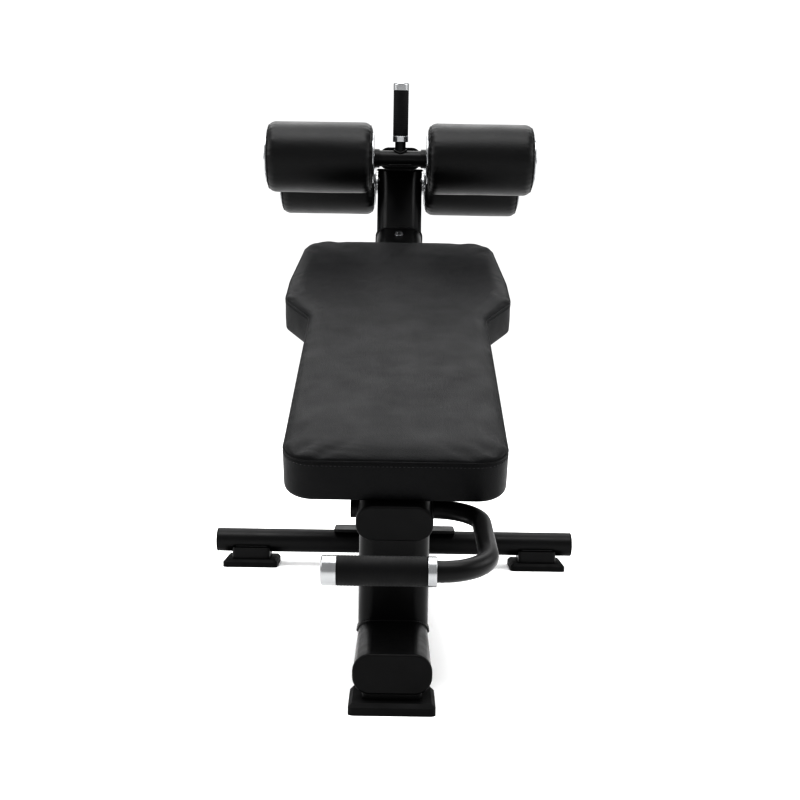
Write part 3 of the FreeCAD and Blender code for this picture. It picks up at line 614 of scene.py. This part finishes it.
def bench_pad():
    """The seat's cover: a firm cushion swollen by cloth pressure, held at its seam and underside."""
    loop = pad_loop()
    rings = []
    for inset, height in pad_profile():
        rings.append([(point.x, point.y, height) for point in drawn_in(loop, inset)])
    points, faces = bridge(rings)
    count = len(loop)
    for row, flip in ((0, True), (len(rings) - 1, False)):
        rim = [Vector(point) for point in rings[row]]
        more_points, more_faces = panel(rim, row * count, len(points))
        points += [tuple(point) for point in more_points]
        faces += [face[::-1] for face in more_faces] if flip else more_faces
    placed = [pad_place(*point) for point in points]
    cover = add_mesh("bench_pad_cover", placed, faces, FINISHES["pad_vinyl"])
    inflate(cover, PAD_PRESSURE, pad_hold)
    subdivide(cover)
    crease_pad(cover)
    settle(cover, "frame", "pad_vinyl", "bench_pad")


def pad_hold(point):
    """1 on the underside and along the seam below the top panel, fading over a few millimetres."""
    local = pad_local(point)
    if local.z < BASE_ROUND / 2:
        return 1.0
    return 0.9 * max(0.0, 1 - abs(local.z - SEAM_HEIGHT) / 0.004)


# Depths of the pad's creases in millimetres, how far its underside hangs at the head end (in millimetres,
# fading over a length and a height in metres), and how fast the puckers repeat, in radians per metre.
SEAM_DEPTH = 1.3
PUCKER_DEPTH = 0.17
FOLD_DEPTH = 0.15
DENT_DEPTH = 0.13
HEM_DROP = 3.2
HEM_LENGTH = 0.095
HEM_HEIGHT = 0.035
PUCKER_RATE = 210


def crease_pad(cover):
    """Presses the seam in, and adds the puckers and folds of a stretched cover and its soft foam."""
    mesh = cover.data
    places = [vertex.co.copy() for vertex in mesh.vertices]
    normals = [vertex.normal.copy() for vertex in mesh.vertices]
    for vertex, place, normal in zip(mesh.vertices, places, normals):
        local = pad_local(place)
        flat = max(0.0, normal.dot(PAD_W)) ** 2
        seam = bell(local.z - SEAM_HEIGHT, 0.002) * (1 - flat)
        shoulder = bell(local.z - SEAM_HEIGHT - 0.005, 0.004)
        edge_run = local.y if abs(normal.x) > 0.5 else local.x
        pucker = math.sin(PUCKER_RATE * edge_run + 4 * perlin(place * 11))
        near_left = bell(local.x + 0.08, 0.05) * bell(local.y - 0.020, 0.018)
        fold = math.sin(local.x * 150 + local.y * 520 + 2.5 * perlin(place * 26))
        dent = (perlin(place * 5) + 0.3 * perlin(place * 15)) * flat
        lift = -SEAM_DEPTH * seam + PUCKER_DEPTH * pucker * shoulder
        lift += FOLD_DEPTH * near_left * fold + DENT_DEPTH * dent
        hem = HEM_DROP * max(0.0, 1 - local.y / HEM_LENGTH) * max(0.0, 1 - local.z / HEM_HEIGHT)
        vertex.co = place + normal * (lift * MM) - PAD_W * (hem * MM)
    mesh.update()


def side_of_cover(surface, height, step):
    """Points of the cover's side at one height, about a step apart, each with its outward direction."""
    reach = 0.03
    loop = pad_loop()
    points = loop + loop[:1]
    lengths = [0.0]
    for before, here in zip(points, points[1:]):
        lengths.append(lengths[-1] + (here - before).length)
    count = round(lengths[-1] / step)
    places = []
    for number in range(count):
        distance = lengths[-1] * number / count
        point = along_line(points, lengths, distance)
        tangent = along_line(points, lengths, min(distance + 0.002, lengths[-1])) - point
        outward = (ACROSS * tangent.y - PAD_V * tangent.x).normalized()
        start = pad_place(point.x, point.y, height) + outward * reach
        place = surface.ray_cast(start, -outward, 2 * reach)[0]
        places.append((place or start - outward * reach, outward))
    return places


# The pad's welt and, below it, its stitches: radii, the stitches' drop below the seam and half their pitch.
WELT = 0.0014
STITCH = 0.00045
STITCH_DROP = 0.0055
STITCH_STEP = 0.0028


def pad_sewing():
    """The welt at the top panel's seam and the row of stitches below it."""
    surface = surface_of(bpy.data.objects["bench_pad_cover"])
    welt = [place + outward * 0.0005 for place, outward in side_of_cover(surface, SEAM_HEIGHT, 0.005)]
    piping = add_mesh("bench_pad_welt", *sweep(welt, even(WELT), closed=True), FINISHES["pad_vinyl"])
    settle(piping, "frame", "pad_vinyl")
    row = side_of_cover(surface, SEAM_HEIGHT - STITCH_DROP, STITCH_STEP)
    stitches = []
    for (start, outward), (end, _) in zip(row[0::2], row[1::2]):
        sunk = outward * 0.0002
        middle = (start + end) / 2 + outward * 0.0005
        stitches.append(sweep([start - sunk, middle, end - sunk], even(STITCH), closed=False, sides=6))
    sewing = add_mesh("bench_pad_stitches", *join_shapes(stitches), THREAD)
    settle(sewing, "frame", "pad_vinyl")


# A roller's cover: its outside, the room that it starts with for swelling, its bore and the discs on its
# ends, the points round it, and how far its end welts lie from its ends.
ROLLER_RADIUS = 0.073
ROLLER_LENGTH = 0.210
ROLLER_ROUND = 0.018
ROLLER_SWELL = 0.003
ROLLER_BORE = 0.0141
DISC_RADIUS = 0.050
ROLLER_SIDES = 112
WELT_INSET = 0.0035


def roller_profile():
    """(radius, height) once round a roller's section, from the bore at one end to the bore at the other."""
    radius = ROLLER_RADIUS - ROLLER_SWELL
    flat = radius - ROLLER_ROUND
    first = arc(flat, ROLLER_ROUND, ROLLER_ROUND, -90, 0, 8)
    second = arc(flat, ROLLER_LENGTH - ROLLER_ROUND, ROLLER_ROUND, 0, 90, 8)
    straight = np.linspace(ROLLER_ROUND, ROLLER_LENGTH - ROLLER_ROUND, 42)[1:-1]
    end = [(r, 0.0) for r in np.linspace(ROLLER_BORE, flat, 10)[:-1]]
    other_end = [(r, ROLLER_LENGTH) for r, _ in reversed(end)]
    return end + first + [(radius, height) for height in straight] + second + other_end


def roller_shape():
    """One roller's cover about local Z, swollen by cloth pressure once and shared by all four."""
    rings = turned(roller_profile(), Vector((0, 0, 0)), Vector((0, 0, 1)), ROLLER_SIDES)
    points, faces = bridge(rings, wrap=True)
    shape = add_mesh("roller_form", points, faces, FINISHES["roller_vinyl"])
    inflate(shape, ROLLER_PRESSURE, roller_hold)
    moved = np.array([vertex.co for vertex in shape.data.vertices])
    bpy.data.objects.remove(shape)
    return moved, faces


def roller_hold(point):
    """1 where the end discs press on the foam and round the bore."""
    radius = math.hypot(point.x, point.y)
    if radius < DISC_RADIUS + 0.001:
        return 1.0
    edge = min(abs(point.z - 0.006), abs(point.z - (ROLLER_LENGTH - 0.006)))
    rounded = radius > ROLLER_RADIUS - 0.012
    return 0.6 * max(0.0, 1 - edge / 0.004) if rounded else 0.0


def pleat(points, seed):
    """Gathers the cover round both ends, and lets the foam show a few soft dents."""
    pleated = points.copy()
    for index, (x, y, z) in enumerate(points):
        radius = math.hypot(x, y)
        turn = math.atan2(y, x)
        uneven = perlin(Vector((3 * math.cos(turn), 3 * math.sin(turn), seed)))
        gather = math.sin(34 * turn + 5 * uneven + seed)
        near_end = min(z, ROLLER_LENGTH - z)
        on_end = bell(radius - 0.060, 0.007) * bell(near_end, 0.009)
        outward = 1 if z > ROLLER_LENGTH / 2 else -1
        pleated[index, 2] += outward * 0.9 * MM * on_end * gather
        if radius > DISC_RADIUS + 0.005:
            tuck = bell(near_end - 0.012, 0.008) * gather * 0.35 * MM
            dent = perlin(Vector((x * 16, y * 16, z * 11 + seed))) * 0.8 * MM
            scale = 1 + (tuck + dent) / radius
            pleated[index, 0] *= scale
            pleated[index, 1] *= scale
    return pleated


def roller_cover(tag, shape, seed):
    """One roller's cover, each roller turned to its own angle, with its welts."""
    low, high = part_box(f"{tag}_roller")
    middle = (low + high) / 2
    points, faces = shape
    placed = []
    spin = math.radians(37 * seed)
    for x, y, z in pleat(points, seed):
        across = x * math.cos(spin) - y * math.sin(spin)
        upward = x * math.sin(spin) + y * math.cos(spin)
        placed.append(Vector((low.x + z, middle.y + across, middle.z + upward)))
    cover = add_mesh(f"{tag}_roller_cover", placed, faces, FINISHES["roller_vinyl"])
    subdivide(cover)
    settle(cover, f"{tag}_roller_set", "roller_vinyl", f"{tag}_roller")
    roller_welts(tag, surface_of(cover), Vector((low.x, middle.y, middle.z)))


def roller_welts(tag, surface, origin):
    """A welt round each end of a roller and its closing seam, which faces down and to the foot end."""
    def on_cover(along, outward):
        start = origin + ACROSS * along + outward * 0.1
        return surface.ray_cast(start, -outward, 0.1)[0] + outward * 0.0002

    shapes = []
    for edge in (WELT_INSET, ROLLER_LENGTH - WELT_INSET):
        count = 160
        turns = [2 * math.pi * side / count for side in range(count)]
        ring = [on_cover(edge, Vector((0, math.cos(turn), math.sin(turn)))) for turn in turns]
        shapes.append(sweep(ring, even(0.0011), closed=True))
    below = Vector((0, 0.42, -0.9)).normalized()
    closing = [on_cover(along, below) for along in np.linspace(0.006, ROLLER_LENGTH - 0.006, 60)]
    shapes.append(sweep(closing, even(0.0009), closed=False))
    welts = add_mesh(f"{tag}_roller_welts", *join_shapes(shapes), FINISHES["roller_vinyl"])
    settle(welts, f"{tag}_roller_set", "roller_vinyl")


def end_discs(tag):
    """The bright discs at a roller's ends, turned with a broken rim and two shallow steps."""
    low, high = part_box(f"{tag}_discs")
    middle = (low + high) / 2
    thick = 0.003
    bore = 0.0104
    rim = 0.0008
    step = 0.0005
    arc_from = 0.0490
    face = [(bore, 0.0), (0.0492, 0.0)] + arc(arc_from, rim, rim, -60, 0, 3)
    face += arc(arc_from, thick - rim, rim, 0, 90, 3)
    for radius in (0.0450, 0.0200):
        face += [(radius + 0.0008, thick), (radius, thick - step)]
        face += [(radius - 0.0012, thick - step), (radius - 0.0020, thick)]
    face.append((bore, thick))
    discs = []
    for start, axis in ((low.x + thick, -ACROSS), (high.x - thick, ACROSS)):
        discs.append(bridge(turned(face, Vector((start, middle.y, middle.z)), axis, 128), wrap=True))
    pair = add_mesh(f"{tag}_turned_discs", *join_shapes(discs), FINISHES["bright_aluminium"], smooth=False)
    settle(pair, f"{tag}_roller_set", "bright_aluminium", f"{tag}_discs")


# ---- grips, bolts and welds -----------------------------------------------------------------------

def grip_sleeve(name, node, start, axis, length, radius, bore):
    """A rubber grip: soft rounded ends and shallow ribs."""
    lip = 0.0016
    rib_pitch = 0.0042
    rib_depth = 0.00022
    plain = 0.004
    profile = [(bore, 0.0)] + arc(radius - lip, lip, lip, -90, 0, 5)
    steps = round(length / rib_pitch) * 6
    for step in range(steps + 1):
        height = plain + (length - 2 * plain) * step / steps
        profile.append((radius - rib_depth * (0.5 + 0.5 * math.cos(2 * math.pi * step / 6)), height))
    profile += arc(radius - lip, length - lip, lip, 0, 90, 5)
    profile.append((bore, length))
    points, faces = bridge(turned(profile, start, axis, 72), wrap=True)
    sleeve = add_mesh(name, points, faces, FINISHES["grip_rubber"])
    settle(sleeve, "frame", "grip_rubber", node)


def grips():
    """The rubber sleeves of the front grip, which lies across, and of the leaning upright grip."""
    low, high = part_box("front_grip")
    middle = (low + high) / 2
    start = Vector((low.x, middle.y, middle.z))
    length = high.x - low.x
    grip_sleeve("front_grip_sleeve", "front_grip", start, ACROSS, length, radius=0.0175, bore=0.0126)
    stub = rise(math.pi / 2 + STUB_LEAN)
    start = KNEE + stub * 0.045
    length = 0.088
    grip_sleeve("upright_grip_sleeve", "upright_grip", start, stub, length, radius=0.015, bore=0.0103)


BOLT_SIDES = 48
BOLT_TURNS = [2 * math.pi * side / BOLT_SIDES for side in range(BOLT_SIDES)]


def hexagon(turn):
    """The radius of a hexagon at an angle, with its corners at radius 1."""
    return math.cos(math.pi / 6) / math.cos(turn % (math.pi / 3) - math.pi / 6)


def button_bolt(start, axis):
    """A washer and a button-headed bolt with a hexagon socket, standing on start along axis."""
    wide = 0.013
    washer = 0.002
    head = 0.0082
    skirt = 0.001
    tall = 0.005
    broken = 0.0004
    socket = 0.0031
    deep = 0.0022

    def crown(degrees):
        return washer + skirt + (tall - skirt) * math.sin(math.radians(degrees))

    rim = [(0.0, 0.0), (wide - broken, 0.0), (wide, broken), (wide, washer - broken)]
    rim += [(wide - broken, washer), (head + broken, washer), (head, washer + broken)]
    dome = [(head * math.cos(math.radians(degrees)), crown(degrees)) for degrees in range(10, 61, 10)]
    rings = turned(rim + dome, start, axis, BOLT_SIDES)
    axis = axis.normalized()
    first = axis.orthogonal().normalized()
    second = axis.cross(first)
    mouth = crown(62)
    for height, shrink in ((mouth, 1.0), (mouth - deep, 0.97)):
        radii = [socket * hexagon(turn) * shrink for turn in BOLT_TURNS]
        rings.append(ring_round(start + axis * height, first, second, radii))
    return capped(rings)


def capped(rings):
    """Rings joined into a closed shape, with a flat face at each end."""
    points, faces = bridge(rings)
    faces.append(tuple(range(len(points) - BOLT_SIDES, len(points))))
    faces.append(tuple(reversed(range(BOLT_SIDES))))
    return points, faces


def axle_bolts():
    """Detailed end bolts for both axles."""
    for name in ("knee", "ankle"):
        low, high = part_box(f"{name}_axle_bolts")
        middle = (low + high) / 2
        reach = 0.007
        left = button_bolt(Vector((low.x + reach, middle.y, middle.z)), -ACROSS)
        right = button_bolt(Vector((high.x - reach, middle.y, middle.z)), ACROSS)
        shape = join_shapes([left, right])
        bolts = add_mesh(f"{name}_button_bolts", *shape, FINISHES["bolt_steel"], smooth=False)
        settle(bolts, "frame", "bolt_steel", f"{name}_axle_bolts")


def hexagon_bolt(start, axis, radius, height, wide):
    """A washer of radius wide and a hexagon head with a chamfered crown, standing on start along axis."""
    axis = axis.normalized()
    first = ACROSS
    second = axis.cross(first)
    washer = 0.0018
    broken = 0.0003
    edge = [(wide - broken, 0), (wide, broken), (wide, washer - broken), (wide - broken, washer)]
    rings = [ring_round(start + axis * h, first, second, [r] * BOLT_SIDES) for r, h in edge]
    for h, crown in ((washer, 1.0), (washer + height * 0.86, 1.0), (washer + height, 0.9)):
        radii = [radius * min(hexagon(turn), crown) for turn in BOLT_TURNS]
        rings.append(ring_round(start + axis * h, first, second, radii))
    return capped(rings)


def end_bolt():
    """The hexagon bolt on the seat tube in front of the rear post."""
    low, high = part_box("end_bolt")
    axis = rise(SEAT_SLOPE + math.pi / 2)
    shank = 0.009
    washer = 0.002
    head = 0.005
    start = (low + high) / 2 + axis * (shank - (shank + washer + head) / 2)
    shape = hexagon_bolt(start, axis, radius=0.0075, height=0.0052, wide=0.010)
    bolt = add_mesh("end_hexagon_bolt", *shape, FINISHES["bolt_steel"], smooth=False)
    settle(bolt, "frame", "bolt_steel", "end_bolt")


def oval_ring(wide, thin, radius):
    """The outline of a flat-oval tube as (x, y) points about 1.1 mm apart."""
    corners = [(x * wide / 2, y * thin / 2, radius) for x, y in ((-1, -1), (1, -1), (1, 1), (-1, 1))]
    return rounded_outline(corners, 0.0011)


def bead(name, path, radius, closed=True):
    """A weld bead: a rounded cord with the even ripples of a hand weld."""
    ripple = 0.0031

    def swell(run):
        phase = (run / ripple) % 1
        return radius * (0.86 + 0.2 * (1 - (2 * phase - 1) ** 2))

    points, faces = sweep(path, swell, closed, sides=10)
    weld = add_mesh(name, points, faces, FINISHES["frame_paint"])
    settle(weld, "frame", "frame_paint")


def oval_joint(tube, tube_axis, anchor, plane_point, plane_normal):
    """The outline where a flat-oval tube meets a plane: anchor is any point of the tube's axis."""
    thick_way = tube_axis.cross(ACROSS)
    path = []
    for x, y in oval_ring(*tube):
        corner = anchor + ACROSS * x + thick_way * y
        run = (plane_point - corner).dot(plane_normal) / tube_axis.dot(plane_normal)
        path.append(corner + tube_axis * run)
    return path


def outside_oval(point, tube, host_axis, host_point):
    """How far a point is outside a flat-oval tube that lies in the bench's middle plane."""
    offset = point - host_point
    wide, thin, radius = tube
    over_x = abs(offset.x) - (wide / 2 - radius)
    over_y = abs(offset.dot(host_axis.cross(ACROSS))) - (thin / 2 - radius)
    return math.hypot(max(over_x, 0), max(over_y, 0)) + min(max(over_x, over_y), 0) - radius


def coped_joint(tube, tube_axis, anchor, host_axis, host_point):
    """The outline where a flat-oval tube, coming along tube_axis, meets another of the same section."""
    normal = host_axis.cross(ACROSS)
    path = []
    for corner in oval_joint(tube, tube_axis, anchor, host_point, normal):
        outer = 0.09
        inner = 0.0
        for _ in range(24):
            middle = (outer + inner) / 2
            if outside_oval(corner - tube_axis * middle, tube, host_axis, host_point) > 0.1 * MM:
                outer = middle
            else:
                inner = middle
        path.append(corner - tube_axis * outer)
    return path


def round_joint(tube_radius, tube_axis, anchor, host_radius, host_centre):
    """The saddle line where a round tube stands on a round tube that lies across the bench."""
    other = tube_axis.cross(ACROSS)
    path = []
    for line in ring_round(anchor, ACROSS, other, [tube_radius] * 90):
        offset = line - host_centre
        offset.x = 0
        along = offset.dot(tube_axis)
        away = offset - tube_axis * along
        run = math.sqrt(max(0.0, host_radius ** 2 - away.length_squared))
        path.append(line + tube_axis * (run - along))
    return path


def round_through_oval(bar_radius, bar_centre, sign):
    """The ring where a cross bar leaves the rounded side of the seat tube, on the side that sign gives."""
    along = rise(SEAT_SLOPE)
    up = rise(SEAT_SLOPE + math.pi / 2)
    above = (bar_centre - SEAT_FRONT).dot(up)
    wide, thin, corner = FRAME_TUBE
    path = []
    for step in range(90):
        turn = 2 * math.pi * step / 90
        height = bar_radius * math.sin(turn)
        point = bar_centre + up * height + along * (bar_radius * math.cos(turn))
        over = max(0.0, abs(above + height) - (thin / 2 - corner))
        reach = wide / 2 - corner + math.sqrt(max(0.0, corner ** 2 - over ** 2))
        path.append(point + ACROSS * (sign * reach))
    return path


def cross_line(low, high, count, y, z):
    """Evenly spaced points across the bench."""
    return [Vector((x, y, z)) for x in np.linspace(low, high, count)]


def post_welds():
    """Beads at both ends of both posts, and where the seat tube meets the rear post."""
    up = Vector((0, 0, 1))
    along = Vector((0, 1, 0))
    seat = rise(SEAT_SLOPE)
    base = Vector((0, 0, centre("base_tube").z))
    front_axis = rise(math.pi / 2 + FRONT_LEAN)
    front_foot = Vector((0, CROSS.y - 0.786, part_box("base_tube")[1].z))
    rear_axis = rise(math.pi / 2 - POST_LEAN)
    rear_foot = Vector((0, CROSS.y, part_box("rear_plate")[1].z))
    arm_up = rise(ARM_SLOPE + math.pi / 2)
    under_arm = KNEE - arm_up * (ARM_TUBE[1] / 2)
    joints = [
        ("front_post_foot", coped_joint(FRAME_TUBE, -front_axis, front_foot, along, base), 0.0026),
        ("front_post_head", coped_joint(FRAME_TUBE, front_axis, front_foot, seat, SEAT_FRONT), 0.0026),
        ("rear_post_foot", oval_joint(FRAME_TUBE, rear_axis, rear_foot, rear_foot, up), 0.0030),
        ("rear_post_head", oval_joint(FRAME_TUBE, rear_axis, rear_foot, under_arm, arm_up), 0.0026),
        ("seat_tube", coped_joint(FRAME_TUBE, seat, SEAT_FRONT, rear_axis, rear_foot), 0.0028),
    ]
    for name, path, radius in joints:
        bead(f"weld_{name}", path, radius)


def arm_welds():
    """Beads round the knee axle's tube: the arm's front end, the upright handle and the underside."""
    knee_tube = 0.016
    neck = 0.0108
    arm_axis = rise(ARM_SLOPE)
    arm_front = KNEE + arm_axis * 0.0125
    bead("weld_arm_front", oval_joint(ARM_TUBE, arm_axis, KNEE, arm_front, arm_axis), 0.0022)
    stub_axis = rise(math.pi / 2 + STUB_LEAN)
    bead("weld_upright_handle", round_joint(neck, stub_axis, KNEE, knee_tube, KNEE), 0.0030)
    below = Vector((0, -0.55, -0.835)).normalized()
    under_tube = []
    for x in np.linspace(-0.024, 0.024, 40):
        under_tube.append(KNEE + ACROSS * x + below * (knee_tube + 0.3 * MM + 1.6 * x * x))
    bead("weld_knee_tube", under_tube, 0.0024, closed=False)


def base_welds():
    """Beads on the cross tube: the base tube's sides, the foot saddles and the stiffening plate."""
    base_side = FRAME_TUBE[0] / 2 + 0.5 * MM
    base_end = CROSS.y - 0.0235
    saddle_edge = 0.0212
    plate_edge = 0.0128
    plate_top = CROSS.z + 0.0212
    for name, side in (("left", -1), ("right", 1)):
        heights = np.linspace(-0.018, 0.018, 40)
        upright = [Vector((side * base_side, base_end, CROSS.z + height)) for height in heights]
        bead(f"weld_base_tube_{name}", upright, 0.0032, closed=False)
        low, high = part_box(f"rear_foot_saddle_{name}")
        for end, way in (("front", -1), ("back", 1)):
            y = CROSS.y + way * saddle_edge
            line = cross_line(low.x + 0.006, high.x - 0.006, 60, y, high.z + 0.0012)
            bead(f"weld_saddle_{name}_{end}", line, 0.0022, closed=False)
    for end, way in (("front", -1), ("back", 1)):
        line = cross_line(-0.118, 0.118, 150, CROSS.y + way * plate_edge, plate_top)
        bead(f"weld_plate_{end}", line, 0.0018, closed=False)


def handle_welds():
    """A bead on each side of the seat tube where the bent handle bar passes through it."""
    bar = 0.0125
    handle = Vector((0, CROSS.y - 0.900, FLOOR + 0.247))
    for name, sign in (("left", -1), ("right", 1)):
        bead(f"weld_handle_bar_{name}", round_through_oval(bar, handle, sign), 0.0022)


# ---- stage ----------------------------------------------------------------------------------------

def stage():
    """A white floor and white surroundings, with four large soft lamps."""
    finish = Finish("floor", (1, 1, 1), 0.9)
    finish.set(Specular_IOR_Level=0)
    half = 40.0
    corners = [(-half, -half, FLOOR), (half, -half, FLOOR), (half, half, FLOOR), (-half, half, FLOOR)]
    add_mesh("studio_floor", corners, [(0, 1, 2, 3)], finish.material, smooth=False)

    world = bpy.data.worlds.new("studio")
    world.use_nodes = True
    world.node_tree.nodes["Background"].inputs["Color"].default_value = (1, 1, 1, 1)
    world.node_tree.nodes["Background"].inputs["Strength"].default_value = 0.64
    bpy.context.scene.world = world

    # Each lamp: its name, place, the point that it faces, its two sizes in metres and its watts.
    lamps = [
        ("overhead", (0.0, 1.6, 3.1), (0.0, 0.1, 0.4), 3.4, 2.6, 42),
        ("front", (-0.2, -0.7, 3.0), (0.0, 0.25, 0.75), 3.2, 1.6, 60),
        ("left", (-2.7, -0.4, 1.6), (0.0, 0.0, 0.3), 2.4, 1.3, 22),
        ("right", (2.7, -0.4, 1.6), (0.0, 0.0, 0.3), 2.4, 1.3, 22),
    ]
    for name, place, target, wide, deep, power in lamps:
        light = bpy.data.lights.new(name, "AREA")
        light.shape = "RECTANGLE"
        light.size = wide
        light.size_y = deep
        light.energy = power
        lamp = bpy.data.objects.new(name, light)
        lamp.location = place
        lamp.rotation_euler = (Vector(target) - Vector(place)).to_track_quat("-Z", "Y").to_euler()
        bpy.context.scene.collection.objects.link(lamp)


# The camera: its lens in millimetres, its distance in front of the cross tube and height above the floor,
# and its angles in degrees.
LENS = 54
EYE_BACK = 2.5
EYE_HEIGHT = 0.473
EYE_DOWN = 2.86
EYE_YAW = -0.17
EYE_ROLL = 0.9


def camera():
    """A long lens at the head end, a little above knee height and almost level."""
    lens = bpy.data.cameras.new("camera")
    lens.lens = LENS
    lens.sensor_width = 36
    eye = bpy.data.objects.new("camera", lens)
    pitch = Matrix.Rotation(math.radians(90 - EYE_DOWN), 4, "X")
    yaw = Matrix.Rotation(math.radians(EYE_YAW), 4, "Z")
    roll = Matrix.Rotation(math.radians(EYE_ROLL), 4, "Z")
    place = Matrix.Translation(Vector((0, CROSS.y - EYE_BACK, FLOOR + EYE_HEIGHT)))
    eye.matrix_world = place @ yaw @ pitch @ roll
    bpy.context.scene.collection.objects.link(eye)
    bpy.context.scene.camera = eye


bpy.context.scene.view_settings.view_transform = "Standard"
bpy.context.scene.view_settings.look = "Very High Contrast"
camera()
stage()
finish_frame()
bench_pad()
pad_sewing()
cover_shape = roller_shape()
for number, roller in enumerate(ROLLERS, start=1):
    roller_cover(roller, cover_shape, number)
    end_discs(roller)
grips()
axle_bolts()
end_bolt()
post_welds()
arm_welds()
base_welds()
handle_welds()
bpy.context.view_layer.update()
